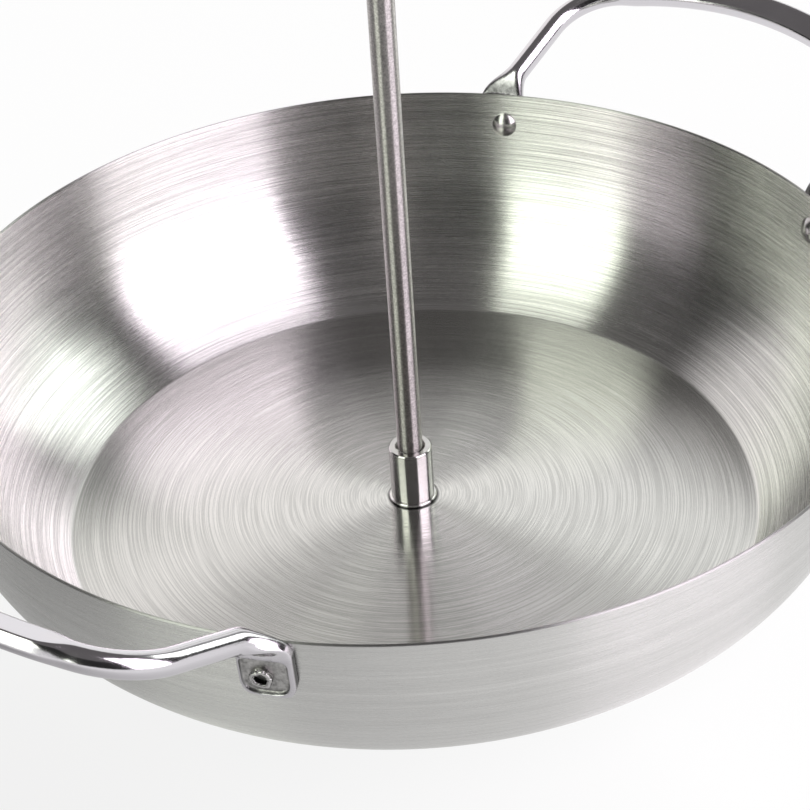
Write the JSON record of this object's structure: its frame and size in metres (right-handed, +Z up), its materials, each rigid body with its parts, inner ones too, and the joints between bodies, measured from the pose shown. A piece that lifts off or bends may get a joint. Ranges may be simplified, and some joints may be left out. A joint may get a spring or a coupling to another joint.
{
  "type": "barbecue skewer pan",
  "caption": "Round flared steel pan with riveted loop handles and a vertical skewer that screws into a socket in the middle of its base.",
  "frame": {"origin": "on the surface the pan stands on, under the centre of the pan", "axes": "+Z up along the skewer, X through the middles of the two handles"},
  "size_m": [0.3996, 0.3, 0.2525],
  "materials": {
    "brushed_steel": "circular brushing on the base and round the wall",
    "cast_steel": "polished, with a matt recess in each lug",
    "polished_steel": "turned and polished",
    "rod_steel": "drawn bar, fine satin polish",
    "fastener_steel": "plain turned steel"
  },
  "bodies": {
    "pan": {"pan_shell": "brushed_steel", "handle_right": "cast_steel", "handle_left": "cast_steel", "rivet_right_front": "polished_steel", "rivet_right_back": "polished_steel", "rivet_left_front": "polished_steel", "rivet_left_back": "polished_steel", "seat_ring": "polished_steel", "socket": "polished_steel", "lock_washer": "fastener_steel", "socket_screw": "fastener_steel"},
    "skewer_thread": {"skewer_stud": "fastener_steel"},
    "skewer": {"skewer_rod": "rod_steel"}
  },
  "joints": [
    {"name": "skewer_lift", "type": "slide", "parent": "pan", "child": "skewer_thread", "axis": [0, 0, 1], "range_m": [0, 0.011]},
    {"name": "skewer_turn", "type": "hinge", "parent": "skewer_thread", "child": "skewer", "pos_m": [0, 0, 0.0215], "axis": [0, 0, 1], "range_deg": [0, 3960]}
  ],
  "couplings": [
    {"joint": "skewer_turn", "follows": "skewer_lift", "rad_per_m": 6283.2}
  ]
}
